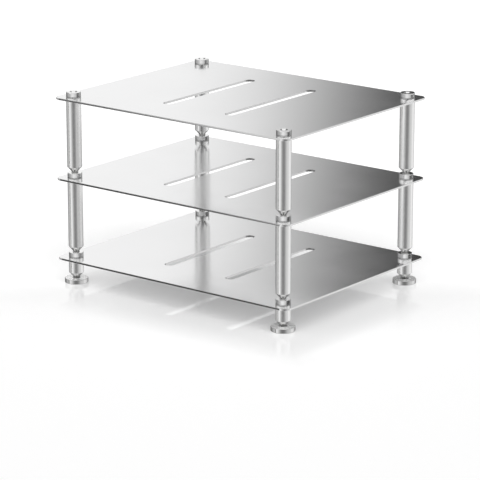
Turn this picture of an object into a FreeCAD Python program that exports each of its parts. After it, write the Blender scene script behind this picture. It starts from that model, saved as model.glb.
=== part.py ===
"""Three-tier stacking rack for audio components, in millimetres.

Each tier is a thin slotted sheet that is clamped between turned posts below it and cups above it.
The posts end in conical spikes, which stand in the seats of the cups on the tier below, and the
short legs of the base tier stand in the same seats in four loose floor discs.

Frame: +X along the wide front edge, +Y to the rear, +Z up, origin on the floor at the middle.
"""
import FreeCAD, Part
import math
import os

# Shelf sheets
SHELF_WIDTH = 580.0
SHELF_DEPTH = 460.0
SHELF_THICKNESS = 4.0
SHELF_CORNER_RADIUS = 16.0
SHELF_EDGE_ROUND = 0.6

# Slots in each sheet, one each side of the middle, running front to rear
SLOT_SPACING = 154.0
SLOT_LENGTH = 278.0
SLOT_WIDTH = 20.0

# Turned posts and base legs
POST_INSET = 29.0
POST_DIAMETER = 30.0
POST_LENGTH = 138.4
LEG_LENGTH = 28.0

# Spike at the foot of every post and leg, hollowed from a wide shoulder to a slender nose;
# both angles are measured from the axis
SPIKE_SHOULDER_ANGLE = 48.0
SPIKE_NOSE_ANGLE = 30.0
SPIKE_NOSE_RADIUS = 2.5
SPIKE_SHOULDER_ROUND = 0.6

# Cups, with a fine groove round the foot of the wall, and the conical seat that is turned into
# every cup and floor disc
CUP_DIAMETER = 29.0
CUP_HEIGHT = 10.0
CUP_EDGE_ROUND = 0.6
CUP_FOOT_LAND = 0.2
CUP_GROOVE_WIDTH = 0.8
CUP_GROOVE_DEPTH = 0.8
SEAT_MOUTH_DIAMETER = 15.0
SEAT_HALF_ANGLE = 48.0
SEAT_FLOOR_RADIUS = 3.0
SEAT_CLEARANCE = 0.3

# Threaded shank under the cup, through the sheet and into the post
SHANK_DIAMETER = 10.0
SHANK_REACH = 20.0
SHANK_POINT_CHAMFER = 1.0
SHANK_CLEARANCE = 0.1
SHELF_HOLE_CLEARANCE = 0.5
BORE_SPARE_DEPTH = 3.0
DRILL_HALF_ANGLE = 59.0

# Loose floor discs, each with a felt pad let into its underside
DISC_DIAMETER = 47.0
DISC_RIM_WIDTH = 2.75
DISC_WEB = 1.7
DISC_EDGE_ROUND = 0.8
PAD_THICKNESS = 2.0
PAD_RECESS = 1.5
PAD_CLEARANCE = 0.25

UP = FreeCAD.Vector(0, 0, 1)


def tan_deg(angle):
    """Tangent of an angle in degrees."""
    return math.tan(math.radians(angle))


def sin_deg(angle):
    """Sine of an angle in degrees."""
    return math.sin(math.radians(angle))


def cos_deg(angle):
    """Cosine of an angle in degrees."""
    return math.cos(math.radians(angle))


# Spike section: a round nose, then one hollow arc up to the shoulder
POST_RADIUS = POST_DIAMETER / 2
SPIKE_MEAN_ANGLE = (SPIKE_SHOULDER_ANGLE + SPIKE_NOSE_ANGLE) / 2
NOSE_EDGE_RADIUS = SPIKE_NOSE_RADIUS * cos_deg(SPIKE_NOSE_ANGLE)
NOSE_HEIGHT = SPIKE_NOSE_RADIUS * (1 - sin_deg(SPIKE_NOSE_ANGLE))
SPIKE_LENGTH = NOSE_HEIGHT + (POST_RADIUS - NOSE_EDGE_RADIUS) / tan_deg(SPIKE_MEAN_ANGLE)

# Cup: a narrow land lies between the rounded foot of the wall and the groove
CUP_GROOVE_HEIGHT = CUP_EDGE_ROUND + CUP_FOOT_LAND + CUP_GROOVE_WIDTH / 2

# Seat section: a cone with a round floor
SEAT_CONE_DEPTH = SEAT_MOUTH_DIAMETER / 2 / tan_deg(SEAT_HALF_ANGLE)
SEAT_DEPTH = SEAT_CONE_DEPTH - SEAT_FLOOR_RADIUS * (1 / sin_deg(SEAT_HALF_ANGLE) - 1)

# Floor disc: the rim goes round the pad's recess, and the web is the metal between recess and seat
RECESS_RADIUS = DISC_DIAMETER / 2 - DISC_RIM_WIDTH
DISC_HEIGHT = PAD_RECESS + DISC_WEB + SEAT_DEPTH

# Heights that follow from how the pieces stand on each other
SPIKE_RISE = SPIKE_LENGTH - SEAT_DEPTH + SEAT_CLEARANCE
DISC_BOTTOM = PAD_THICKNESS - PAD_RECESS
DISC_TOP = DISC_BOTTOM + DISC_HEIGHT
BASE_SHELF_BOTTOM = DISC_TOP + SPIKE_RISE + LEG_LENGTH
TIER_PITCH = SHELF_THICKNESS + CUP_HEIGHT + SPIKE_RISE + POST_LENGTH

# Post axes, the same on every tier
POST_X = SHELF_WIDTH / 2 - POST_INSET
POST_Y = SHELF_DEPTH / 2 - POST_INSET
CORNERS = {
    "front_left": (-POST_X, -POST_Y),
    "front_right": (POST_X, -POST_Y),
    "rear_left": (-POST_X, POST_Y),
    "rear_right": (POST_X, POST_Y),
}

# Tier names from the floor up, with the length of the posts under each sheet
TIERS = [("base", LEG_LENGTH), ("middle", POST_LENGTH), ("top", POST_LENGTH)]
POST_NAMES = {"base": "base_leg", "middle": "middle_post", "top": "top_post"}
SHELF_NAMES = {"base": "bottom_shelf", "middle": "middle_shelf", "top": "top_shelf"}


class Profile:
    """Half section in radius and height, drawn point by point and turned about the Z axis."""

    def __init__(self, radius, height):
        self.edges = []
        self.start = self.at(radius, height)
        self.end = self.start

    @staticmethod
    def at(radius, height):
        """Point of the half section."""
        return FreeCAD.Vector(radius, 0, height)

    def line_to(self, radius, height):
        """Add a straight run to the point."""
        target = self.at(radius, height)
        self.edges.append(Part.LineSegment(self.end, target).toShape())
        self.end = target
        return self

    def arc_to(self, middle, target):
        """Add an arc through the middle point to the target point."""
        target = self.at(*target)
        self.edges.append(Part.Arc(self.end, self.at(*middle), target).toShape())
        self.end = target
        return self

    def turned(self):
        """Close the section and turn it into a solid."""
        self.edges.append(Part.LineSegment(self.end, self.start).toShape())
        face = Part.Face(Part.Wire(self.edges))
        return face.revolve(FreeCAD.Vector(0, 0, 0), UP, 360)


def corner_arc(centre, radius, from_angle, to_angle):
    """Middle and end point of an arc in the half section, by its centre and angles in degrees."""
    half_way = (from_angle + to_angle) / 2
    points = []
    for angle in (half_way, to_angle):
        points.append((centre[0] + radius * cos_deg(angle), centre[1] + radius * sin_deg(angle)))
    return points


def spike_section(profile):
    """Continue a section from the tip of the nose, up the hollow of the spike, to the shoulder."""
    nose_centre = (0, SPIKE_NOSE_RADIUS - SPIKE_LENGTH)
    profile.arc_to(*corner_arc(nose_centre, SPIKE_NOSE_RADIUS, -90, -SPIKE_NOSE_ANGLE))
    half_chord = (POST_RADIUS - NOSE_EDGE_RADIUS) / sin_deg(SPIKE_MEAN_ANGLE) / 2
    hollow = half_chord * tan_deg((SPIKE_SHOULDER_ANGLE - SPIKE_NOSE_ANGLE) / 4)
    middle_radius = (POST_RADIUS + NOSE_EDGE_RADIUS) / 2 - hollow * cos_deg(SPIKE_MEAN_ANGLE)
    middle_height = (NOSE_HEIGHT - SPIKE_LENGTH) / 2 + hollow * sin_deg(SPIKE_MEAN_ANGLE)
    profile.arc_to((middle_radius, middle_height), (POST_RADIUS, 0))


def seat_section(profile, rim_height):
    """Continue a section from the axis, up the rounded floor and cone of a seat, to its mouth."""
    floor_centre = (0, rim_height - SEAT_DEPTH + SEAT_FLOOR_RADIUS)
    profile.arc_to(*corner_arc(floor_centre, SEAT_FLOOR_RADIUS, -90, -SEAT_HALF_ANGLE))
    profile.line_to(SEAT_MOUTH_DIAMETER / 2, rim_height)


def rim_section(profile, radius, rim_height, edge_round):
    """Continue a section from a seat's mouth over the flat rim and its rounded edge."""
    profile.line_to(radius - edge_round, rim_height)
    profile.arc_to(*corner_arc((radius - edge_round, rim_height - edge_round), edge_round, 90, 0))


def groove_section(profile, radius, middle_height, width, depth):
    """Continue a section down a wall, into a square groove and out again."""
    for height, reach in ((middle_height + width / 2, 0), (middle_height - width / 2, depth)):
        profile.line_to(radius - reach, height)
        profile.line_to(radius - depth + reach, height)


def foot_section(profile, radius, edge_round):
    """Continue a section down the rest of a wall and round its lower edge at height 0."""
    profile.line_to(radius, edge_round)
    profile.arc_to(*corner_arc((radius - edge_round, edge_round), edge_round, 0, -90))


def rounded_rectangle(width, depth, radius):
    """Closed outline of a rectangle with round corners, about the origin in the XY plane."""
    edges = []
    corner_x = width / 2 - radius
    corner_y = depth / 2 - radius
    centres = [(corner_x, corner_y), (-corner_x, corner_y), (-corner_x, -corner_y), (corner_x, -corner_y)]
    arcs = []
    for quarter, (x, y) in enumerate(centres):
        circle = Part.Circle(FreeCAD.Vector(x, y, 0), UP, radius)
        arcs.append(Part.Arc(circle, quarter * math.pi / 2, (quarter + 1) * math.pi / 2))
    for arc, following in zip(arcs, arcs[1:] + arcs[:1]):
        edges.append(arc.toShape())
        edges.append(Part.LineSegment(arc.EndPoint, following.StartPoint).toShape())
    return Part.Wire(edges)


def slot_outline(x):
    """Closed outline of one round-ended slot whose middle is at x, running along Y."""
    radius = SLOT_WIDTH / 2
    end_y = SLOT_LENGTH / 2 - radius
    rear = Part.Arc(Part.Circle(FreeCAD.Vector(x, end_y, 0), UP, radius), 0, math.pi)
    front = Part.Arc(Part.Circle(FreeCAD.Vector(x, -end_y, 0), UP, radius), math.pi, 2 * math.pi)
    left = Part.LineSegment(rear.EndPoint, front.StartPoint)
    right = Part.LineSegment(front.EndPoint, rear.StartPoint)
    return Part.Wire([rear.toShape(), left.toShape(), front.toShape(), right.toShape()])


def shelf():
    """Sheet with round corners, broken edges, two slots and a hole for each cup's shank."""
    outline = Part.Face(rounded_rectangle(SHELF_WIDTH, SHELF_DEPTH, SHELF_CORNER_RADIUS))
    sheet = outline.extrude(UP * SHELF_THICKNESS)
    rims = []
    for edge in sheet.Edges:
        if edge.BoundBox.ZLength < SHELF_THICKNESS / 2:
            rims.append(edge)
    sheet = sheet.makeFillet(min(SHELF_EDGE_ROUND, SHELF_THICKNESS / 3), rims)
    cutters = []
    for x in (-SLOT_SPACING / 2, SLOT_SPACING / 2):
        cutters.append(Part.Face(slot_outline(x)).extrude(UP * SHELF_THICKNESS))
    hole_radius = SHANK_DIAMETER / 2 + SHELF_HOLE_CLEARANCE
    for x, y in CORNERS.values():
        cutters.append(Part.makeCylinder(hole_radius, SHELF_THICKNESS, FreeCAD.Vector(x, y, 0)))
    return sheet.cut(cutters)


def post(length):
    """Turned bar with a spike at its foot and a tapped bore in its top, shoulder at height 0."""
    bore_radius = SHANK_DIAMETER / 2 + SHANK_CLEARANCE
    bore_floor = length - SHANK_REACH - BORE_SPARE_DEPTH
    drill_point = bore_floor - bore_radius / tan_deg(DRILL_HALF_ANGLE)
    section = Profile(0, -SPIKE_LENGTH)
    spike_section(section)
    section.line_to(POST_RADIUS, length)
    section.line_to(bore_radius, length)
    section.line_to(bore_radius, bore_floor)
    section.line_to(0, drill_point)
    bar = section.turned()
    shoulder = []
    for edge in bar.Edges:
        if edge.BoundBox.ZLength < SPIKE_SHOULDER_ROUND and abs(edge.CenterOfMass.z) < SPIKE_SHOULDER_ROUND:
            shoulder.append(edge)
    return bar.makeFillet(SPIKE_SHOULDER_ROUND, shoulder)


def cup():
    """Flat cap with a seat in its top and a shank below, underside of the cap at height 0."""
    radius = CUP_DIAMETER / 2
    shank_radius = SHANK_DIAMETER / 2
    shank_end = -SHELF_THICKNESS - SHANK_REACH
    section = Profile(0, CUP_HEIGHT - SEAT_DEPTH)
    seat_section(section, CUP_HEIGHT)
    rim_section(section, radius, CUP_HEIGHT, CUP_EDGE_ROUND)
    groove_section(section, radius, CUP_GROOVE_HEIGHT, CUP_GROOVE_WIDTH, CUP_GROOVE_DEPTH)
    foot_section(section, radius, CUP_EDGE_ROUND)
    section.line_to(shank_radius, 0)
    section.line_to(shank_radius, shank_end + SHANK_POINT_CHAMFER)
    section.line_to(shank_radius - SHANK_POINT_CHAMFER, shank_end)
    section.line_to(0, shank_end)
    return section.turned()


def floor_disc():
    """Disc with a seat in its top and a recess for the pad below, underside at height 0."""
    radius = DISC_DIAMETER / 2
    section = Profile(0, DISC_HEIGHT - SEAT_DEPTH)
    seat_section(section, DISC_HEIGHT)
    rim_section(section, radius, DISC_HEIGHT, DISC_EDGE_ROUND)
    foot_section(section, radius, DISC_EDGE_ROUND)
    section.line_to(RECESS_RADIUS, 0)
    section.line_to(RECESS_RADIUS, PAD_RECESS)
    section.line_to(0, PAD_RECESS)
    return section.turned()


def felt_pad():
    """Felt disc, underside at height 0."""
    return Part.makeCylinder(RECESS_RADIUS - PAD_CLEARANCE, PAD_THICKNESS)


def write(node, shape, x, y, z):
    """Write a copy of the shape, moved to its place, as one node."""
    placed = shape.copy()
    placed.translate(FreeCAD.Vector(x, y, z))
    placed.exportStep(os.path.join("parts", node + ".step"))


def main():
    """Build each different piece once and write it wherever it is used."""
    os.makedirs("parts", exist_ok=True)
    shelf_shape = shelf()
    cup_shape = cup()
    disc_shape = floor_disc()
    pad_shape = felt_pad()
    for corner, (x, y) in CORNERS.items():
        write("floor_disc_" + corner, disc_shape, x, y, DISC_BOTTOM)
        write("floor_pad_" + corner, pad_shape, x, y, 0)
    for level, (tier, length) in enumerate(TIERS):
        shelf_bottom = BASE_SHELF_BOTTOM + level * TIER_PITCH
        shelf_top = shelf_bottom + SHELF_THICKNESS
        post_shape = post(length)
        write(SHELF_NAMES[tier], shelf_shape, 0, 0, shelf_bottom)
        for corner, (x, y) in CORNERS.items():
            write(POST_NAMES[tier] + "_" + corner, post_shape, x, y, shelf_bottom - length)
            write(tier + "_cup_" + corner, cup_shape, x, y, shelf_top)
    print("tier pitch", round(TIER_PITCH, 2), "height", round(shelf_top + CUP_HEIGHT, 2))


if __name__ == "__main__":
    main()
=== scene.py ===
"""Looks of a three-tier audio rack: slotted satin sheets carried by turned, polished posts on spikes.

Everything is in metres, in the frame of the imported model: +X along the wide front edge, +Y to the
rear, +Z up, and the origin on the floor under the middle of the rack. Angles are in degrees.
"""
import logging
import math
from dataclasses import dataclass
from enum import Enum, IntEnum

import bmesh
import bpy
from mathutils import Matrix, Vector


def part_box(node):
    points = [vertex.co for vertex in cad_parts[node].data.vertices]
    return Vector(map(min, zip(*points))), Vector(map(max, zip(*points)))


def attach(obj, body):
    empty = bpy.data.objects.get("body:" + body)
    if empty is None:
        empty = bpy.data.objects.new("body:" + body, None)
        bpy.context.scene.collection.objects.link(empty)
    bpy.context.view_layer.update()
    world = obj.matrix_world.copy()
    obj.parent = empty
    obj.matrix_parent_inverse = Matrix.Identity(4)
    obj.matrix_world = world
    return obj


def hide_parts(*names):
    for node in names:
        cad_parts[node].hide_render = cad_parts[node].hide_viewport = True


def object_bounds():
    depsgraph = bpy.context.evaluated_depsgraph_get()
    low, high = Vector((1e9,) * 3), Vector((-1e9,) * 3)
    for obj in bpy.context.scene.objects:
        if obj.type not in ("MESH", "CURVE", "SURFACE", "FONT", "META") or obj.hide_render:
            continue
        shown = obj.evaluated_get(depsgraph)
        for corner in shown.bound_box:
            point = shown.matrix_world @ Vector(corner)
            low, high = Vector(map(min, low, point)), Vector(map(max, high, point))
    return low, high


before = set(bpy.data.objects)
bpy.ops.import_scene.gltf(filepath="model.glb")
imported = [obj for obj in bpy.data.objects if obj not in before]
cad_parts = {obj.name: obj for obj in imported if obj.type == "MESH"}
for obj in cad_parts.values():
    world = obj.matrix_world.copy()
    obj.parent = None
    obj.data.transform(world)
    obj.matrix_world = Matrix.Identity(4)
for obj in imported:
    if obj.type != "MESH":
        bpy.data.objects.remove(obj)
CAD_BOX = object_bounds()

log = logging.getLogger("rack")

TURNING = "turning"
WELD = 1e-7
ACROSS = Vector((1, 0, 0))
INTO = Vector((0, 1, 0))
UP = Vector((0, 0, 1))
QUARTER_TURN = 90.0
HALF_TURN = 180.0
FULL_TURN = 360.0

# Least upright part of the normal of a level face
LEVEL = 0.98
# Range that most of a noise texture lies in
NOISE_LOW = 0.3
NOISE_HIGH = 0.7
# Limits between the whole numbers that count a ray's bounces
NO_BOUNCE = 0.5
ONE_BOUNCE = 1.5

Stops = tuple[tuple[float, float], ...]
Colour = tuple[float, float, float]


class Slot(Enum):
    """Names of material slots."""

    SHEET = "satin_sheet"
    STEEL = "polished_steel"
    FELT = "felt"


class Corner(Enum):
    """Corners of the rack, by the words that their nodes end in."""

    FRONT_LEFT = "front_left"
    FRONT_RIGHT = "front_right"
    REAR_LEFT = "rear_left"
    REAR_RIGHT = "rear_right"


class Tier(Enum):
    """Tiers from the floor up, each with its word, its sheet's node and the stem of its posts' nodes."""

    BASE = ("base", "bottom_shelf", "base_leg")
    MIDDLE = ("middle", "middle_shelf", "middle_post")
    TOP = ("top", "top_shelf", "top_post")

    def __init__(self, word: str, sheet: str, post: str) -> None:
        """Keep the words of a tier.

        Args:
            word: the tier's own word.
            sheet: the node of its sheet.
            post: the stem of its posts' nodes.
        """
        self.word = word
        self.sheet = sheet
        self.post = post

    @property
    def body(self) -> str:
        """Body that the tier's pieces ride on."""
        return self.word + "_tier"


class SheetFace(IntEnum):
    """Faces of a sheet, by their material numbers."""

    TOP = 0
    EDGE = 1
    SLOT_WALL = 2
    UNDERSIDE = 3
    SLOT_END = 4


class PostFace(IntEnum):
    """Faces of a post, by their material numbers."""

    BAR = 0
    SPIKE = 1


class CupFace(IntEnum):
    """Faces of a cup, by their material numbers."""

    TOP = 0
    GROOVE = 1
    WALL = 2


class DiscFace(IntEnum):
    """Faces of a floor disc, by their material numbers."""

    RIM = 0
    TOP = 1


class Value:
    """A number in a node tree, for use in Python arithmetic: each operation adds its Math node."""

    def __init__(self, graph: "Graph", socket: bpy.types.NodeSocket) -> None:
        """Wrap an output socket."""
        self.graph = graph
        self.socket = socket

    def maths(self, operation: str, *operands: "Value | float") -> "Value":
        """Feed operands to a Math node.

        Args:
            operation: the node's operation.
            operands: values or numbers, in the order of the node's inputs.

        Returns:
            The node's result.
        """
        inputs = dict(enumerate(operands))
        return self.graph.add("ShaderNodeMath", {"operation": operation}, inputs)["Value"]

    def __add__(self, other: "Value | float") -> "Value":
        """Sum."""
        return self.maths("ADD", self, other)

    def __radd__(self, other: float) -> "Value":
        """Sum with a number on the left."""
        return self.maths("ADD", other, self)

    def __sub__(self, other: "Value | float") -> "Value":
        """Difference."""
        return self.maths("SUBTRACT", self, other)

    def __rsub__(self, other: float) -> "Value":
        """Difference from a number on the left."""
        return self.maths("SUBTRACT", other, self)

    def __mul__(self, other: "Value | float") -> "Value":
        """Product."""
        return self.maths("MULTIPLY", self, other)

    def __rmul__(self, other: float) -> "Value":
        """Product with a number on the left."""
        return self.maths("MULTIPLY", other, self)

    def __truediv__(self, other: "Value | float") -> "Value":
        """Quotient."""
        return self.maths("DIVIDE", self, other)

    def __rtruediv__(self, other: float) -> "Value":
        """Quotient with a number on the left."""
        return self.maths("DIVIDE", other, self)

    def __lt__(self, other: "Value | float") -> "Value":
        """One where this is the smaller, otherwise zero."""
        return self.maths("LESS_THAN", self, other)

    def __abs__(self) -> "Value":
        """Value without its sign."""
        return self.maths("ABSOLUTE", self)

    def larger(self, other: "Value") -> "Value":
        """The larger of two values."""
        return self.maths("MAXIMUM", self, other)

    def sine(self) -> "Value":
        """Sine of an angle in radians."""
        return self.maths("SINE", self)


class Made:
    """A node that was added to a graph, with its outputs by name."""

    def __init__(self, graph: "Graph", node: bpy.types.Node) -> None:
        """Keep the node and the graph it is in."""
        self.graph = graph
        self.node = node

    def __getitem__(self, output: str | int) -> Value:
        """Output of the node, as a value."""
        return Value(self.graph, self.node.outputs[output])


class Graph:
    """A node tree that is filled node by node."""

    # Places of a Mix node's sockets for colours, whose names repeat those for numbers
    MIX_SHARE = 0
    MIX_COLOURS = (6, 7)
    MIX_RESULT = 2

    def __init__(self, tree: bpy.types.NodeTree) -> None:
        """Start from an empty tree."""
        self.tree = tree
        self.tree.nodes.clear()

    @classmethod
    def of_material(cls, name: str) -> tuple["Graph", bpy.types.Material]:
        """Make a material with an empty node tree.

        Args:
            name: the material's name.

        Returns:
            The graph of its nodes, and the material.
        """
        material = bpy.data.materials.new(name)
        material.use_nodes = True
        return cls(material.node_tree), material

    def add(self, kind: str, settings: dict | None = None, inputs: dict | None = None) -> Made:
        """Add a node.

        Args:
            kind: the node's type.
            settings: its own properties, set first; "stops" holds a ramp's positions and shades.
            inputs: numbers, colours or values for its input sockets, by name or place.

        Returns:
            The node, with its outputs by name.
        """
        node = self.tree.nodes.new(kind)
        for name, setting in (settings or {}).items():
            if name == "stops":
                self.set_stops(node.color_ramp, setting)
            else:
                setattr(node, name, setting)
        for name, fed in (inputs or {}).items():
            socket = node.inputs[name]
            if isinstance(fed, Value):
                self.tree.links.new(fed.socket, socket)
            else:
                socket.default_value = fed
        return Made(self, node)

    @staticmethod
    def set_stops(ramp: bpy.types.ColorRamp, stops: Stops) -> None:
        """Give a ramp its stops.

        Args:
            ramp: the ramp of a Color Ramp node.
            stops: positions from 0 to 1, each with its shade of grey.
        """
        while len(ramp.elements) > 1:
            ramp.elements.remove(ramp.elements[-1])
        for number, (position, shade) in enumerate(stops):
            stop = ramp.elements[0] if number == 0 else ramp.elements.new(position)
            stop.position = position
            stop.color = (shade, shade, shade, 1)

    def noise(self, place: Value, scale: float = 1.0, detail: float = 2.0) -> Value:
        """Noise from 0 to 1 at a place, by the number of its cells per metre."""
        inputs = {"Vector": place, "Scale": scale, "Detail": detail}
        return self.add("ShaderNodeTexNoise", None, inputs)["Fac"]

    def stretched(self, place: Value, scale: Vector) -> Value:
        """Place with each axis multiplied by its scale."""
        return self.add("ShaderNodeMapping", None, {"Vector": place, "Scale": scale})["Vector"]

    def between(self, value: Value, low: float, high: float, to_low: float, to_high: float) -> Value:
        """Map a value from one range to another, without going past its ends.

        Args:
            value: what is mapped.
            low: start of its range.
            high: end of its range.
            to_low: result at the start.
            to_high: result at the end.

        Returns:
            The mapped value, eased at both ends.
        """
        limits = {"Value": value, "From Min": low, "From Max": high, "To Min": to_low, "To Max": to_high}
        return self.add("ShaderNodeMapRange", {"interpolation_type": "SMOOTHSTEP"}, limits)["Result"]

    def spread(self, noise: Value, to_low: float, to_high: float) -> Value:
        """Map the range that most of a noise lies in to another range."""
        return self.between(noise, NOISE_LOW, NOISE_HIGH, to_low, to_high)

    def mixed(self, share: Value, first: "Colour | Value", second: "Colour | Value") -> Value:
        """Mix two colours.

        Args:
            share: share of the second colour, from 0 to 1.
            first: a colour.
            second: another colour.

        Returns:
            The mixed colour.
        """
        fed = {self.MIX_SHARE: share}
        for place, colour in zip(self.MIX_COLOURS, (first, second)):
            fed[place] = colour if isinstance(colour, Value) else (*colour, 1)
        return self.add("ShaderNodeMix", {"data_type": "RGBA"}, fed)[self.MIX_RESULT]

    def bumped(self, height: Value, depth: float) -> Value:
        """Surface direction over a relief whose height of 1 is a depth in metres."""
        return self.add("ShaderNodeBump", None, {"Height": height, "Distance": depth})["Normal"]

    def surface(self, shader: Value) -> None:
        """Give a shader to the tree's material output."""
        self.add("ShaderNodeOutputMaterial", None, {"Surface": shader})


def grey(shade: float) -> Colour:
    """Neutral colour of a shade from 0 to 1."""
    return (shade, shade, shade)


@dataclass(frozen=True)
class SatinSheet:
    """Stainless sheet, ground to a fine satin along its length and then buffed nearly bright."""

    name: str = "satin_sheet"
    bright: Colour = grey(0.90)
    dull: Colour = (0.86, 0.86, 0.865)
    smooth: float = 0.13
    coarse: float = 0.165
    grain_along: float = 30.0
    grain_across: float = 2600.0
    grain_detail: float = 3.0
    grain_share: float = 0.3
    cloud: float = 9.0
    cloud_detail: float = 3.0
    scratch_depth: float = 2.5e-7

    def material(self) -> bpy.types.Material:
        """Make the finish of the sheets' upper faces, or of their rougher undersides, which are painted
        darker as shade.

        Returns:
            The material.
        """
        graph, material = Graph.of_material(self.name)
        place = graph.add("ShaderNodeTexCoord")["Object"]
        stretch = Vector((self.grain_along, self.grain_across, self.grain_across))
        grain = graph.noise(graph.stretched(place, stretch), detail=self.grain_detail)
        clouds = graph.noise(place, self.cloud, self.cloud_detail)
        wear = (1 - self.grain_share) * clouds + self.grain_share * grain
        graph.surface(graph.add("ShaderNodeBsdfPrincipled", None, {
            "Base Color": graph.mixed(grain, self.dull, self.bright),
            "Metallic": 1.0,
            "Roughness": graph.spread(wear, self.smooth, self.coarse),
            "Normal": graph.bumped(grain, self.scratch_depth),
        })["BSDF"])
        return material


@dataclass(frozen=True)
class GroundEdge:
    """Cut edge of the sheet, ground along the edge and polished."""

    name: str = "ground_edge"
    bright: Colour = grey(0.90)
    dull: Colour = grey(0.78)
    smooth: float = 0.05
    coarse: float = 0.10
    along: float = 60.0
    through: float = 5200.0
    line_depth: float = 4e-7

    def material(self) -> bpy.types.Material:
        """Make the finish of the sheets' outer edges, or of the walls and ends of their slots, which are
        painted darker as shade.

        Returns:
            The material.
        """
        graph, material = Graph.of_material(self.name)
        place = graph.add("ShaderNodeTexCoord")["Object"]
        stretch = Vector((self.along, self.along, self.through))
        lines = graph.noise(graph.stretched(place, stretch))
        graph.surface(graph.add("ShaderNodeBsdfPrincipled", None, {
            "Base Color": graph.mixed(lines, self.dull, self.bright),
            "Metallic": 1.0,
            "Roughness": graph.spread(lines, self.smooth, self.coarse),
            "Normal": graph.bumped(lines, self.line_depth),
        })["BSDF"])
        return material


@dataclass(frozen=True)
class PolishedSteel:
    """Turned stainless bar, polished over the fine feed marks that the lathe left.

    A grazing shade under 1 darkens the mirror where it is seen edge-on, and a fall over 0 leans the face
    by that slope along the tool's path.
    """

    name: str = "polished_steel"
    bright: Colour = (0.91, 0.91, 0.905)
    dull: Colour = grey(0.87)
    smooth: float = 0.02
    coarse: float = 0.05
    metal: float = 1.0
    grazing: float = 1.0
    feed: float = 3.5e-4
    feed_depth: float = 1.2e-7
    fall: float = 0.0
    mark_share: float = 0.25
    smear: float = 140.0
    smear_detail: float = 3.0
    drift: float = 900.0
    drift_detail: float = 1.0
    drift_turn: float = 2.0

    def material(self) -> bpy.types.Material:
        """Make the finish of a turned piece or of one of its faces.

        Returns:
            The material.
        """
        graph, material = Graph.of_material(self.name)
        place = graph.add("ShaderNodeTexCoord")["Object"]
        smears = graph.noise(place, self.smear, self.smear_detail)
        drift = graph.noise(place, self.drift, self.drift_detail)
        path = graph.add("ShaderNodeAttribute", {"attribute_name": TURNING})["Fac"]
        marks = (path * (2 * math.pi / self.feed) + self.drift_turn * drift).sine() * 0.5 + 0.5
        wear = (1 - self.mark_share) * smears + self.mark_share * marks
        relief = marks * self.feed_depth - path * self.fall
        graph.surface(graph.add("ShaderNodeBsdfPrincipled", None, {
            "Base Color": graph.mixed(smears, self.dull, self.bright),
            "Metallic": self.metal,
            "Specular Tint": (*grey(self.grazing), 1),
            "Roughness": graph.spread(wear, self.smooth, self.coarse),
            "Normal": graph.bumped(relief, 1.0),
        })["BSDF"])
        return material


@dataclass(frozen=True)
class BlackFelt:
    """Dense pressed wool felt."""

    name: str = "black_felt"
    deep: Colour = (0.012, 0.012, 0.013)
    fuzz: Colour = (0.05, 0.05, 0.052)
    fuzz_start: float = 0.35
    fuzz_end: float = 0.7
    smooth: float = 0.85
    coarse: float = 1.0
    fibre: float = 2600.0
    fibre_detail: float = 4.0
    clump: float = 420.0
    clump_share: float = 0.4
    pile_depth: float = 1.5e-4
    gloss: float = 0.2
    sheen: float = 0.3
    sheen_roughness: float = 0.5

    def material(self) -> bpy.types.Material:
        """Make the finish of the pads under the discs.

        Returns:
            The material.
        """
        graph, material = Graph.of_material(self.name)
        place = graph.add("ShaderNodeTexCoord")["Object"]
        fibres = graph.noise(place, self.fibre, self.fibre_detail)
        clumps = graph.noise(place, self.clump)
        pile = (1 - self.clump_share) * fibres + self.clump_share * clumps
        fuzzy = graph.between(pile, self.fuzz_start, self.fuzz_end, 0.0, 1.0)
        graph.surface(graph.add("ShaderNodeBsdfPrincipled", None, {
            "Base Color": graph.mixed(fuzzy, self.deep, self.fuzz),
            "Roughness": graph.spread(pile, self.smooth, self.coarse),
            "Specular IOR Level": self.gloss,
            "Sheen Weight": self.sheen,
            "Sheen Roughness": self.sheen_roughness,
            "Normal": graph.bumped(pile, self.pile_depth),
        })["BSDF"])
        return material


Finish = SatinSheet | GroundEdge | PolishedSteel | BlackFelt


class Pen:
    """Draws a wire with bmesh operators, run by run from its tip."""

    def __init__(self, mesh: bmesh.types.BMesh, start: Vector) -> None:
        """Put the pen down.

        Args:
            mesh: the mesh that takes the wire.
            start: the wire's first point.
        """
        self.mesh = mesh
        self.first = mesh.verts.new(start)
        self.tip = self.first
        self.edges: list[bmesh.types.BMEdge] = []

    def line(self, to: Vector) -> "Pen":
        """Draw a straight run from the tip.

        Args:
            to: the end of the run.

        Returns:
            The pen, at the end of the run.
        """
        made = bmesh.ops.extrude_vert_indiv(self.mesh, verts=[self.tip])
        self.edges += made["edges"]
        self.tip = made["verts"][0]
        self.tip.co = to
        return self

    def arc(self, centre: Vector, axis: Vector, angle: float, steps: int) -> "Pen":
        """Draw an arc from the tip.

        Args:
            centre: the arc's centre.
            axis: the direction it turns about, by the right hand.
            angle: how far it turns, in degrees.
            steps: the number of its runs.

        Returns:
            The pen, at the end of the arc.
        """
        drawn = set(self.mesh.edges)
        made = bmesh.ops.spin(self.mesh, geom=[self.tip], cent=centre, axis=axis,
                              angle=math.radians(angle), steps=steps)
        self.edges += [edge for edge in self.mesh.edges if edge not in drawn]
        self.tip = next(item for item in made["geom_last"] if isinstance(item, bmesh.types.BMVert))
        return self

    def fill(self) -> None:
        """Close the wire and fill it with one face."""
        self.edges.append(self.mesh.edges.new((self.tip, self.first)))
        bmesh.ops.edgeloop_fill(self.mesh, edges=self.edges)


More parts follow.
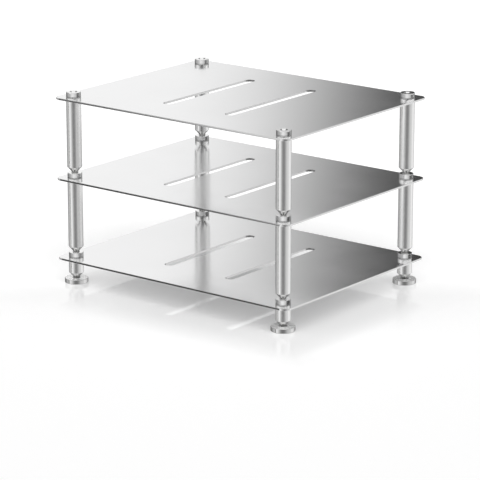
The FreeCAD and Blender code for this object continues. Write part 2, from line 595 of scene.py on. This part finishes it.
@dataclass
class Piece:
    """One piece of the rack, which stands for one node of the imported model."""

    name: str
    node: str
    body: str
    sharp_angle: float = 24.0
    face_weight: int = 100

    def middle(self) -> Vector:
        """Middle of the underside of the node's box."""
        low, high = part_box(self.node)
        return Vector(((low.x + high.x) / 2, (low.y + high.y) / 2, low.z))

    def size(self) -> Vector:
        """Width, depth and height of the node's box."""
        low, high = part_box(self.node)
        return high - low

    def show(self, mesh: bmesh.types.BMesh, slot: Slot,
             finishes: list[bpy.types.Material]) -> bpy.types.Object:
        """Put a finished mesh in the scene in place of the node.

        Args:
            mesh: the piece, already at its place; it is freed.
            slot: not used.
            finishes: materials, in the order of the mesh's material numbers.

        Returns:
            The piece's object.
        """
        data = bpy.data.meshes.new(self.name)
        mesh.to_mesh(data)
        mesh.free()
        for finish in finishes:
            data.materials.append(finish)
        data.shade_smooth()
        data.set_sharp_from_angle(angle=math.radians(self.sharp_angle))
        piece = bpy.data.objects.new(self.name, data)
        bpy.context.scene.collection.objects.link(piece)
        even = piece.modifiers.new("even_faces", "WEIGHTED_NORMAL")
        even.keep_sharp = True
        even.weight = self.face_weight
        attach(piece, self.body)
        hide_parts(self.node)
        log.info("%s stands for %s on %s, %d faces", self.name, self.node, self.body, len(data.polygons))
        return piece


@dataclass
class Sheet(Piece):
    """Slotted sheet with round corners, broken edges and a hole for each cup's shank."""

    corner_radius: float = 0.016
    edge_round: float = 0.0004
    edge_steps: int = 4
    rim_angle: float = 60.0
    slot_spacing: float = 0.154
    slot_length: float = 0.278
    slot_width: float = 0.020
    slot_edge_round: float = 0.0003
    wall_facing: float = 0.999
    hole_inset: float = 0.029
    hole_radius: float = 0.0055
    arc_steps: int = 16

    def outline(self) -> bmesh.types.BMesh:
        """Draw the rear right quarter of the sheet in two faces that meet across its hole, and mirror it.

        Returns:
            The whole sheet as flat faces at height 0.
        """
        mesh = bmesh.new()
        half_width, half_depth, _ = self.size() / 2
        slot_x = self.slot_spacing / 2
        slot_half = self.slot_width / 2
        slot_end = self.slot_length / 2 - slot_half
        hole = Vector((half_width - self.hole_inset, half_depth - self.hole_inset, 0))
        corner = Vector((half_width - self.corner_radius, half_depth - self.corner_radius, 0))
        inner = hole - ACROSS * self.hole_radius
        outer = hole + ACROSS * self.hole_radius

        front = Pen(mesh, Vector((0, 0, 0)))
        front.line(Vector((slot_x - slot_half, 0, 0)))
        front.line(Vector((slot_x - slot_half, slot_end, 0)))
        front.arc(Vector((slot_x, slot_end, 0)), -UP, HALF_TURN, 2 * self.arc_steps)
        front.line(Vector((slot_x + slot_half, 0, 0)))
        front.line(Vector((half_width, 0, 0)))
        front.line(Vector((half_width, hole.y, 0)))
        front.line(outer)
        front.arc(hole, -UP, HALF_TURN, 2 * self.arc_steps)
        front.line(Vector((0, hole.y, 0)))
        front.fill()

        rear = Pen(mesh, Vector((0, hole.y, 0)))
        rear.line(inner)
        rear.arc(hole, -UP, HALF_TURN, 2 * self.arc_steps)
        rear.line(Vector((half_width, hole.y, 0)))
        rear.line(Vector((half_width, corner.y, 0)))
        rear.arc(corner, UP, QUARTER_TURN, self.arc_steps)
        rear.line(Vector((0, half_depth, 0)))
        rear.fill()

        bmesh.ops.remove_doubles(mesh, verts=mesh.verts, dist=WELD)
        for axis in ("X", "Y"):
            geometry = mesh.verts[:] + mesh.edges[:] + mesh.faces[:]
            bmesh.ops.mirror(mesh, geom=geometry, axis=axis, merge_dist=WELD)
        bmesh.ops.remove_doubles(mesh, verts=mesh.verts, dist=WELD)
        return mesh

    def build(self) -> bmesh.types.BMesh:
        """Give the outline its thickness, break its edges and mark its faces.

        Returns:
            The sheet at its place, with its faces numbered by their kind.
        """
        mesh = self.outline()
        size = self.size()
        made = bmesh.ops.extrude_face_region(mesh, geom=mesh.faces[:])
        raised = [item for item in made["geom"] if isinstance(item, bmesh.types.BMVert)]
        bmesh.ops.translate(mesh, verts=raised, vec=UP * size.z)
        bmesh.ops.recalc_face_normals(mesh, faces=mesh.faces)

        rims = [edge for edge in mesh.edges if edge.calc_face_angle(0.0) > math.radians(self.rim_angle)]
        in_slot = [edge for edge in rims if all(self.at_slot(vert.co) for vert in edge.verts)]
        outside = [edge for edge in rims if all(self.at_outside(vert.co, size / 2) for vert in edge.verts)]
        for edges, amount in ((outside, self.edge_round), (in_slot, self.slot_edge_round)):
            bmesh.ops.bevel(mesh, geom=edges, offset=amount, offset_type="OFFSET", segments=self.edge_steps,
                            profile=0.5, affect="EDGES", material=-1)
        for face in mesh.faces:
            face.material_index = self.face_kind(face)
        bmesh.ops.translate(mesh, verts=mesh.verts, vec=self.middle())
        return mesh

    def face_kind(self, face: bmesh.types.BMFace) -> SheetFace:
        """Tell a face by its direction and place.

        Args:
            face: a face of the sheet, before the sheet is moved to its place.

        Returns:
            The kind of face.
        """
        if face.normal.z < -LEVEL:
            return SheetFace.UNDERSIDE
        if face.normal.z >= LEVEL:
            return SheetFace.TOP
        if not all(self.at_slot(vert.co) for vert in face.verts):
            return SheetFace.EDGE
        across = abs(face.normal.x) > self.wall_facing * face.normal.xy.length
        return SheetFace.SLOT_WALL if across else SheetFace.SLOT_END

    def at_slot(self, place: Vector) -> bool:
        """Whether a point lies in the part of the sheet that holds the slots."""
        reach = self.slot_spacing / 2 + self.slot_width
        return abs(place.x) < reach and abs(place.y) < self.slot_length / 2 + self.slot_width / 2

    def at_outside(self, place: Vector, half: Vector) -> bool:
        """Tell a point on the sheet's outer edge.

        Args:
            place: the point, on the sheet before it is moved to its place.
            half: half of the sheet's size.

        Returns:
            Whether it lies on the outer edge.
        """
        beside = abs(place.x) > half.x - self.corner_radius - WELD
        behind = abs(place.y) > half.y - self.corner_radius - WELD
        return beside or behind

    def dress(self, finishes: list[bpy.types.Material]) -> None:
        """Build the sheet and give it its finishes, in the order of its faces' numbers."""
        self.show(self.build(), Slot.SHEET, finishes)


@dataclass(frozen=True)
class Seat:
    """Conical seat with a round floor, which a spike stands in."""

    mouth_radius: float = 0.0075
    half_angle: float = 48.0
    floor_radius: float = 0.003

    def depth(self) -> float:
        """Depth of the floor's lowest point under the mouth."""
        slope = math.radians(self.half_angle)
        return self.mouth_radius / math.tan(slope) - self.floor_radius * (1 / math.sin(slope) - 1)


@dataclass
class Turned(Piece):
    """A piece that is turned on a lathe about its upright axis."""

    around: int = 96
    arc_steps: int = 6

    @staticmethod
    def at(radius: float, height: float) -> Vector:
        """Point of the half section."""
        return Vector((radius, 0, height))

    def section(self, mesh: bmesh.types.BMesh) -> None:
        """Draw the half section into a mesh, in order from one end to the other."""
        raise NotImplementedError

    def seated(self, mesh: bmesh.types.BMesh, seat: Seat, rim: float) -> Pen:
        """Draw a seat from the axis, over its round floor and up its cone, to its mouth.

        Args:
            mesh: the mesh that holds the section.
            seat: the seat's sizes.
            rim: height of the mouth.

        Returns:
            The pen, at the mouth.
        """
        pen = Pen(mesh, self.at(0, rim - seat.depth()))
        pen.arc(pen.tip.co + UP * seat.floor_radius, -INTO, QUARTER_TURN - seat.half_angle, self.arc_steps)
        return pen.line(self.at(seat.mouth_radius, rim))

    def rounded_rim(self, pen: Pen, radius: float, top: float, amount: float) -> None:
        """Draw outwards over a flat top and round its edge."""
        pen.line(self.at(radius - amount, top))
        pen.arc(self.at(radius - amount, top - amount), INTO, QUARTER_TURN, self.arc_steps)

    def rounded_foot(self, pen: Pen, radius: float, bottom: float, amount: float) -> None:
        """Draw down a wall and round its lower edge."""
        pen.line(self.at(radius, bottom + amount))
        pen.arc(self.at(radius - amount, bottom + amount), INTO, QUARTER_TURN, self.arc_steps)

    def turn(self) -> bmesh.types.BMesh:
        """Turn the half section into a closed piece that stands at the middle of its node.

        Returns:
            The piece at its place, with the tool's path along the section on its vertices.
        """
        mesh = bmesh.new()
        layer = mesh.verts.layers.float.new(TURNING)
        self.section(mesh)
        path, before = 0.0, None
        for vert in mesh.verts:
            path += (vert.co - before).length if before is not None else 0.0
            before = vert.co.copy()
            vert[layer] = path
        geometry = mesh.verts[:] + mesh.edges[:]
        bmesh.ops.spin(mesh, geom=geometry, cent=(0, 0, 0), axis=UP, angle=2 * math.pi,
                       steps=self.around, use_merge=True)
        bmesh.ops.remove_doubles(mesh, verts=mesh.verts, dist=WELD)
        bmesh.ops.recalc_face_normals(mesh, faces=mesh.faces)
        bmesh.ops.translate(mesh, verts=mesh.verts, vec=self.middle())
        return mesh

    def dress(self, finishes: list[bpy.types.Material]) -> None:
        """Turn the piece and give it its finishes, in the order of its faces' numbers."""
        self.show(self.turn(), Slot.STEEL, finishes)


@dataclass
class Post(Turned):
    """Post or leg: a bar with a hollow-ground spike and a round nose at its foot, and a bore in its top."""

    nose_radius: float = 0.0025
    nose_angle: float = 30.0
    shoulder_angle: float = 48.0
    shoulder_round: float = 0.0006
    hollow_steps: int = 24
    spike_tilt: float = 0.05
    bore_radius: float = 0.0051
    bore_depth: float = 0.023
    drill_angle: float = 59.0

    def section(self, mesh: bmesh.types.BMesh) -> None:
        """Draw from the tip of the nose, up the hollow and the bar, over the top and down the bore.

        Args:
            mesh: the mesh that holds the section.
        """
        radius, top = self.size().x / 2, self.size().z
        bore_floor = top - self.bore_depth
        drill_point = bore_floor - self.bore_radius / math.tan(math.radians(self.drill_angle))
        pen = Pen(mesh, self.at(0, 0))
        pen.arc(self.at(0, self.nose_radius), -INTO, QUARTER_TURN - self.nose_angle, self.arc_steps)

        nose = math.radians(self.nose_angle)
        turn = self.shoulder_angle - self.nose_angle
        mean = math.radians((self.shoulder_angle + self.nose_angle) / 2)
        chord = (radius - pen.tip.co.x) / math.sin(mean)
        hollow_radius = chord / 2 / math.sin(math.radians(turn / 2))
        centre = pen.tip.co + hollow_radius * self.at(math.cos(nose), -math.sin(nose))
        trim = self.shoulder_round * math.tan(math.radians(self.shoulder_angle / 2))
        kept = turn - math.degrees(trim / hollow_radius)
        pen.arc(centre, INTO, kept, self.hollow_steps)
        inward = self.at(radius - self.shoulder_round, pen.tip.co.z)
        lift = self.shoulder_round * math.sin(math.radians(self.shoulder_angle))
        pen.arc(inward + UP * lift, -INTO, self.shoulder_angle, self.arc_steps)
        pen.line(self.at(radius, top))
        pen.line(self.at(self.bore_radius, top))
        pen.line(self.at(self.bore_radius, bore_floor))
        pen.line(self.at(0, drill_point))

    def turn(self) -> bmesh.types.BMesh:
        """Turn the post and mark its spike, whose faces look down.

        Returns:
            The post at its place, with its faces numbered by their kind.
        """
        mesh = super().turn()
        for face in mesh.faces:
            face.material_index = PostFace.SPIKE if face.normal.z < -self.spike_tilt else PostFace.BAR
        return mesh


@dataclass
class Cup(Turned):
    """Flat cap with a fine groove round its foot, a seat in its top, and a shank into the post below."""

    height: float = 0.010
    edge_round: float = 0.0006
    groove_height: float = 0.0012
    groove_width: float = 0.0008
    groove_depth: float = 0.0008
    wall_tilt: float = 0.5
    seat: Seat = Seat()
    shank_radius: float = 0.005
    shank_chamfer: float = 0.001

    def section(self, mesh: bmesh.types.BMesh) -> None:
        """Draw from the bottom of the seat, over the rim, down the grooved wall and round the shank.

        Args:
            mesh: the mesh that holds the section.
        """
        radius, top = self.size().x / 2, self.size().z
        under = top - self.height
        pen = self.seated(mesh, self.seat, top)
        self.rounded_rim(pen, radius, top, self.edge_round)
        lower, upper = self.groove_span()
        deep = self.groove_depth
        for reach, height in ((0, upper), (deep, upper), (deep, lower), (0, lower)):
            pen.line(self.at(radius - reach, height))
        self.rounded_foot(pen, radius, under, self.edge_round)
        pen.line(self.at(self.shank_radius, under))
        pen.line(self.at(self.shank_radius, self.shank_chamfer))
        pen.line(self.at(self.shank_radius - self.shank_chamfer, 0))
        pen.line(self.at(0, 0))

    def groove_span(self) -> tuple[float, float]:
        """Heights of the groove's lower and upper side over the end of the shank."""
        middle = self.size().z - self.height + self.groove_height
        return middle - self.groove_width / 2, middle + self.groove_width / 2

    def turn(self) -> bmesh.types.BMesh:
        """Turn the cup and mark its groove and its wall.

        Returns:
            The cup at its place, with its faces numbered by their kind.
        """
        mesh = super().turn()
        foot = self.middle()
        lower, upper = (foot.z + height for height in self.groove_span())
        for face in mesh.faces:
            place = face.calc_center_median()
            outside = (place - foot).xy.length > 2 * self.shank_radius
            if outside and lower - WELD < place.z < upper + WELD:
                face.material_index = CupFace.GROOVE
            elif outside and abs(face.normal.z) < self.wall_tilt:
                face.material_index = CupFace.WALL
            else:
                face.material_index = CupFace.TOP
        return mesh


@dataclass
class FloorDisc(Turned):
    """Disc with a conical seat in a polished land in its top, and a recess for a pad in its underside."""

    edge_round: float = 0.0008
    seat: Seat = Seat()
    land_radius: float = 0.0085
    rim_width: float = 0.00275
    recess: float = 0.0015

    def section(self, mesh: bmesh.types.BMesh) -> None:
        """Draw from the bottom of the seat, over the land and the rim, down the wall and into the recess.

        Args:
            mesh: the mesh that holds the section.
        """
        radius, top = self.size().x / 2, self.size().z
        pen = self.seated(mesh, self.seat, top)
        pen.line(self.at(self.land_radius, top))
        self.rounded_rim(pen, radius, top, self.edge_round)
        self.rounded_foot(pen, radius, 0, self.edge_round)
        pen.line(self.at(radius - self.rim_width, 0))
        pen.line(self.at(radius - self.rim_width, self.recess))
        pen.line(self.at(0, self.recess))

    def turn(self) -> bmesh.types.BMesh:
        """Turn the disc and mark its flat top outside the land.

        Returns:
            The disc at its place, with its faces numbered by their kind.
        """
        mesh = super().turn()
        foot = self.middle()
        for face in mesh.faces:
            reach = (face.calc_center_median() - foot).xy.length
            on_top = face.normal.z > LEVEL and reach > self.land_radius
            face.material_index = DiscFace.TOP if on_top else DiscFace.RIM
        return mesh


@dataclass
class FeltPad(Turned):
    """Felt disc let into the underside of a floor disc."""

    edge_round: float = 0.0003

    def section(self, mesh: bmesh.types.BMesh) -> None:
        """Draw from the middle of the top, over the edge, to the middle of the underside.

        Args:
            mesh: the mesh that holds the section.
        """
        radius, top = self.size().x / 2, self.size().z
        pen = Pen(mesh, self.at(0, top))
        self.rounded_rim(pen, radius, top, self.edge_round)
        self.rounded_foot(pen, radius, 0, self.edge_round)
        pen.line(self.at(0, 0))

    def dress(self, finishes: list[bpy.types.Material]) -> None:
        """Turn the pad and give it its felt."""
        self.show(self.turn(), Slot.FELT, finishes)


@dataclass(frozen=True)
class Sweep:
    """Pale floor that keeps the rack's shadow, mirrors the rack close by, and glows a little around it,
    with painted light beside and behind the rack that thins its shadow there.
    """

    half_side: float = 14.0
    colour: Colour = grey(0.86)
    index: float = 2.1
    gloss_start: float = 0.03
    gloss_end: float = 0.16
    glow: float = 0.15
    # Painted light: a glow beside and behind the rack that thins the floor's shadow there.
    painted_side_light: float = 0.19
    side_start: float = -0.16
    side_end: float = 0.0
    rear_heading: float = 38.0
    rear_start: float = -0.12
    rear_end: float = 0.10

    def finish(self) -> bpy.types.Material:
        """Make the floor's finish, which bare metal looks through.

        Returns:
            The material.
        """
        graph, material = Graph.of_material("pale_sweep")
        rays = graph.add("ShaderNodeLightPath")
        place = graph.add("ShaderNodeSeparateXYZ", None, {0: graph.add("ShaderNodeTexCoord")["Object"]})
        low, high = CAD_BOX
        beside = abs(place["X"]) - high.x
        around = beside.larger(place["Y"] - high.y)
        past = around.larger(low.y - place["Y"])

        dull = graph.add("ShaderNodeBsdfDiffuse", None, {"Color": (*self.colour, 1)})["BSDF"]
        gloss = graph.add("ShaderNodeBsdfGlossy", None, {"Roughness": 0.0})["BSDF"]
        near = graph.between(past, self.gloss_start, self.gloss_end, 1.0, 0.0)
        share = near * graph.add("ShaderNodeFresnel", None, {"IOR": self.index})["Fac"]
        coated = graph.add("ShaderNodeMixShader", None, {0: share, 1: dull, 2: gloss})["Shader"]

        # Painted light: the glow grows beside the rack and towards its rear, where it thins the rack's
        # shadow.
        rear = math.radians(self.rear_heading)
        deep = math.cos(rear) * place["Y"] - math.sin(rear) * place["X"]
        lift = (graph.between(around, self.side_start, self.side_end, 0.0, self.painted_side_light)
                * graph.between(deep, self.rear_start, self.rear_end, 0.0, 1.0))
        glow = (1.0 - rays["Is Diffuse Ray"]) * (lift + self.glow)
        shine = graph.add("ShaderNodeEmission", None, {"Color": glow})["Emission"]
        lit = graph.add("ShaderNodeAddShader", None, {0: coated, 1: shine})["Shader"]

        clear = graph.add("ShaderNodeBsdfTransparent")["BSDF"]
        mirrored = (rays["Is Glossy Ray"] * (rays["Glossy Depth"] < ONE_BOUNCE)
                    * (rays["Diffuse Depth"] < NO_BOUNCE))
        graph.surface(graph.add("ShaderNodeMixShader", None, {0: mirrored, 1: lit, 2: clear})["Shader"])
        return material

    def lay(self) -> None:
        """Lay the sweep at height 0."""
        mesh = bmesh.new()
        bmesh.ops.create_grid(mesh, x_segments=1, y_segments=1, size=self.half_side)
        data = bpy.data.meshes.new("sweep")
        mesh.to_mesh(data)
        mesh.free()
        data.materials.append(self.finish())
        sweep = bpy.data.objects.new("sweep", data)
        bpy.context.scene.collection.objects.link(sweep)


@dataclass(frozen=True)
class Tent:
    """Tent of light round the rack: a soft key for dull surfaces, and rings of panels for the metal.

    A panel's heading is 0 at the front and grows to the right, and a ring blends into the one above it
    over a range of rises. The high ring leans, and a dark flag stands before the low one.
    """

    key_heading: float = 38.0
    key_rise: float = 38.0
    key_shade: float = 0.10
    key_light: float = 1.96
    ground: float = 0.90
    low_blend: tuple[float, float] = (-32.0, -24.0)
    low_panels: Stops = (
        (-180, 0.65), (-160, 0.45), (-140, 0.32), (-120, 0.35), (-105, 0.42), (-85, 0.37), (-78, 0.39),
        (-59, 0.55), (-43, 0.80), (-28, 0.92), (-15, 0.90), (-3, 0.72), (9, 0.46), (21, 0.28), (32, 0.21),
        (44, 0.21), (55, 0.27), (67, 0.42), (79, 0.59), (92, 0.67), (105, 0.70), (119, 0.78), (130, 0.98),
        (137, 0.94), (143, 0.83), (152, 0.88), (180, 0.65),
    )
    flag_heading: float = -40.3
    flag_dip: float = -16.5
    flag_lean: float = 0.95
    flag_half_width: float = 4.2
    flag_half_height: float = 7.5
    flag_blend: tuple[float, float] = (0.2, 2.2)
    flag_shade: float = 0.06
    high_blend: tuple[float, float] = (-6.0, 4.0)
    high_panels: Stops = (
        (-180, 0.50), (-156, 0.45), (-150, 0.03), (-145.5, 0.0), (-144, 0.30), (-142.7, 0.74), (-141, 0.98),
        (-138, 1.0), (-133, 1.0), (-129, 0.10), (-118, 0.14), (-104, 0.36), (-88, 0.38), (-70, 0.52),
        (-43, 0.86), (-28, 0.90), (-15, 0.88), (-3, 0.72), (9, 0.48), (21, 0.22), (38, 0.10), (55, 0.22),
        (67, 0.42), (79, 0.60), (92, 0.58), (105, 0.66), (119, 0.80), (135, 1.0), (154, 0.70), (180, 0.50),
    )
    high_lean: float = 0.13
    high_level: float = 13.0
    upper_blend: tuple[float, float] = (20.0, 27.0)
    upper_panels: Stops = (
        (-180, 0.40), (-165, 0.75), (-120, 0.75), (-105, 0.05), (-85, 0.10), (-68, 0.30), (-46, 0.42),
        (-26, 0.50), (-9, 0.64), (7, 0.84), (23, 0.95), (38, 0.90), (53, 0.80), (69, 0.70), (85, 0.55),
        (95, 0.36), (104, 0.10), (122, 0.04), (150, 0.05), (168, 0.14), (180, 0.40),
    )
    ceiling_blend: tuple[float, float] = (48.0, 58.0)
    ceiling: float = 0.98

    def facing_key(self, graph: Graph, toward: Value) -> Value:
        """Compare a direction with the key light's.

        Args:
            graph: the world's graph.
            toward: the direction.

        Returns:
            How squarely it faces the key light, from -1 to 1.
        """
        heading, rise = math.radians(self.key_heading), math.radians(self.key_rise)
        key = UP * math.sin(rise) + (ACROSS * math.sin(heading) - INTO * math.cos(heading)) * math.cos(rise)
        return graph.add("ShaderNodeVectorMath", {"operation": "DOT_PRODUCT"}, {0: toward, 1: key})["Value"]

    def panels(self, graph: Graph, heading: Value, stops: Stops) -> Value:
        """Brightness of a ring of panels by heading.

        Args:
            graph: the world's graph.
            heading: heading as a share of the full circle, 0.5 at the front.
            stops: headings in degrees, each with its brightness.

        Returns:
            The ring's brightness.
        """
        places = tuple((0.5 + degrees / FULL_TURN, shade) for degrees, shade in stops)
        return graph.add("ShaderNodeValToRGB", {"stops": places}, {"Fac": heading})["Color"]

    def past_flag(self, graph: Graph, heading: Value, rise: Value) -> Value:
        """Share of the light that comes past the leaning flag.

        Args:
            graph: the world's graph.
            heading: heading in degrees.
            rise: rise over the horizon in degrees.

        Returns:
            The share.
        """
        above = rise - self.flag_dip
        aside = (heading - self.flag_heading + above * self.flag_lean) / self.flag_half_width
        above = above / self.flag_half_height
        return graph.between(aside * aside + above * above, *self.flag_blend, self.flag_shade, 1.0)

    def walls(self, graph: Graph, toward: Value) -> Value:
        """Brightness of the tent in a direction: rings of panels from the ground to the ceiling.

        Args:
            graph: the world's graph.
            toward: the direction.

        Returns:
            The brightness.
        """
        parts = graph.add("ShaderNodeSeparateXYZ", None, {0: toward})
        turn = parts["X"].maths("ARCTAN2", parts["X"], 0.0 - parts["Y"])
        heading = turn / (2 * math.pi) + 0.5
        rise = parts["Z"].maths("ARCSINE", parts["Z"]) * (HALF_TURN / math.pi)
        leaning = heading - (rise - self.high_level) * (self.high_lean / FULL_TURN)
        low = self.panels(graph, heading, self.low_panels)
        flagged = graph.mixed(self.past_flag(graph, turn * (HALF_TURN / math.pi), rise), grey(0.0), low)
        rings = (
            (self.low_blend, flagged),
            (self.high_blend, self.panels(graph, leaning, self.high_panels)),
            (self.upper_blend, self.panels(graph, heading, self.upper_panels)),
            (self.ceiling_blend, grey(self.ceiling)),
        )
        walls = grey(self.ground)
        for blend, ring in rings:
            walls = graph.mixed(graph.between(rise, *blend, 0.0, 1.0), walls, ring)
        return walls

    def light(self) -> None:
        """Make the world: white to the eye, the soft key for dull surfaces, the panels in the metal."""
        world = bpy.data.worlds.new("tent")
        world.use_nodes = True
        bpy.context.scene.world = world
        graph = Graph(world.node_tree)
        toward = graph.add("ShaderNodeTexCoord")["Generated"]
        rays = graph.add("ShaderNodeLightPath")
        soft = graph.between(self.facing_key(graph, toward), 0.0, 1.0, self.key_shade, self.key_light)
        in_metal = rays["Is Glossy Ray"] * (rays["Diffuse Depth"] < NO_BOUNCE)
        mirrored = graph.mixed(in_metal, soft, self.walls(graph, toward))
        direct = rays["Is Camera Ray"].larger(rays["Is Singular Ray"])
        seen = graph.mixed(direct, mirrored, grey(1.0))
        background = graph.add("ShaderNodeBackground", None, {"Color": seen})["Background"]
        graph.add("ShaderNodeOutputWorld", None, {"Surface": background})


@dataclass(frozen=True)
class Viewpoint:
    """Camera that looks down at the rack from beyond its front right corner."""

    place: tuple[float, float, float] = (3.1826, -4.0412, 1.5407)
    heading: float = 38.23
    dip: float = 15.77
    lens: float = 200.2
    sensor: float = 36.0
    reach: float = 100.0

    def set_camera(self) -> None:
        """Stand the camera at its place and make it the scene's."""
        lens = bpy.data.cameras.new("camera")
        lens.lens = self.lens
        lens.sensor_width = self.sensor
        lens.clip_end = self.reach
        camera = bpy.data.objects.new("camera", lens)
        camera.location = self.place
        camera.rotation_euler = (math.radians(QUARTER_TURN - self.dip), 0, math.radians(self.heading))
        bpy.context.scene.collection.objects.link(camera)
        bpy.context.scene.camera = camera


@dataclass(frozen=True)
class Studio:
    """What stands round the rack: floor, light and camera."""

    sweep: Sweep = Sweep()
    tent: Tent = Tent()
    viewpoint: Viewpoint = Viewpoint()
    mirror_bounces: int = 24

    def set_up(self) -> None:
        """Make floor, light and camera, and let light run on between facing mirrors."""
        bpy.context.scene.view_settings.view_transform = "Standard"
        bpy.context.scene.cycles.max_bounces = self.mirror_bounces
        bpy.context.scene.cycles.glossy_bounces = self.mirror_bounces
        self.sweep.lay()
        self.tent.light()
        self.viewpoint.set_camera()


class Rack:
    """The whole rack: four floor discs on felt, and three tiers that stand on each other."""

    def __init__(self) -> None:
        """Make each finish once, in the order of the faces' numbers."""
        self.sheet = self.made(
            SatinSheet(),
            GroundEdge(),
            # Slot walls: a darker grey than the outer edges, painted shade inside the slots.
            GroundEdge("slot_wall_painted_shade", grey(0.76), grey(0.66), smooth=0.20, coarse=0.30),
            # Undersides: rougher than the tops, and a darker grey, painted shade that the sheets below
            # mirror.
            SatinSheet("underside_painted_shade", grey(0.66), (0.58, 0.58, 0.585), smooth=0.34, coarse=0.42),
            # Slot ends: a dark grey, painted shade at the ends of the slots.
            GroundEdge("slot_end", grey(0.36), grey(0.26), smooth=0.25, coarse=0.35),
        )
        self.post = self.made(
            PolishedSteel("bar_steel", smooth=0.16, coarse=0.22),
            PolishedSteel("spike_steel", grazing=0.35),
        )
        self.cup = self.made(
            PolishedSteel(),
            # Groove: a dark grey, painted shade in the recess.
            PolishedSteel("groove_painted_shade_steel", grey(0.34), grey(0.26), smooth=0.38, coarse=0.50),
            PolishedSteel("cup_wall_steel", (0.94, 0.94, 0.935), grey(0.89), smooth=0.05, coarse=0.09,
                          grazing=0.35, fall=0.16),
        )
        self.disc = self.made(
            # Disc rim, land and seat: darker than the other polished steel, painted shade.
            PolishedSteel("rim_painted_shade_steel", (0.80, 0.80, 0.795), grey(0.74), grazing=0.35),
            # Disc top: a satin finish, made paler and partly dull so that it looks lit, which is painted
            # light.
            PolishedSteel("disc_top_painted_light_steel", (0.95, 0.95, 0.945), grey(0.92), smooth=0.24, coarse=0.30,
                          metal=0.6),
        )
        self.felt = self.made(BlackFelt())

    @staticmethod
    def made(*finishes: Finish) -> list[bpy.types.Material]:
        """Materials of finishes, in the same order."""
        return [finish.material() for finish in finishes]

    def stand_feet(self) -> None:
        """Build the floor discs and their pads."""
        for corner in Corner:
            where = corner.value
            FloorDisc("disc_" + where, "floor_disc_" + where, "floor_discs").dress(self.disc)
            FeltPad("pad_" + where, "floor_pad_" + where, "floor_discs").dress(self.felt)

    def stand_tier(self, tier: Tier) -> None:
        """Build a tier: its sheet, with a post below and a cup above at each corner.

        Args:
            tier: the tier.
        """
        Sheet("sheet_" + tier.word, tier.sheet, tier.body).dress(self.sheet)
        for corner in Corner:
            where = corner.value
            Post("post_" + tier.word + "_" + where, tier.post + "_" + where, tier.body).dress(self.post)
            Cup("cup_" + tier.word + "_" + where, tier.word + "_cup_" + where, tier.body).dress(self.cup)

    def build(self) -> None:
        """Build everything from the floor up."""
        self.stand_feet()
        for tier in Tier:
            self.stand_tier(tier)


def main() -> None:
    """Build the rack and its studio."""
    logging.basicConfig(level=logging.INFO, format="%(name)s: %(message)s")
    Rack().build()
    Studio().set_up()


if __name__ == "__main__":
    main()
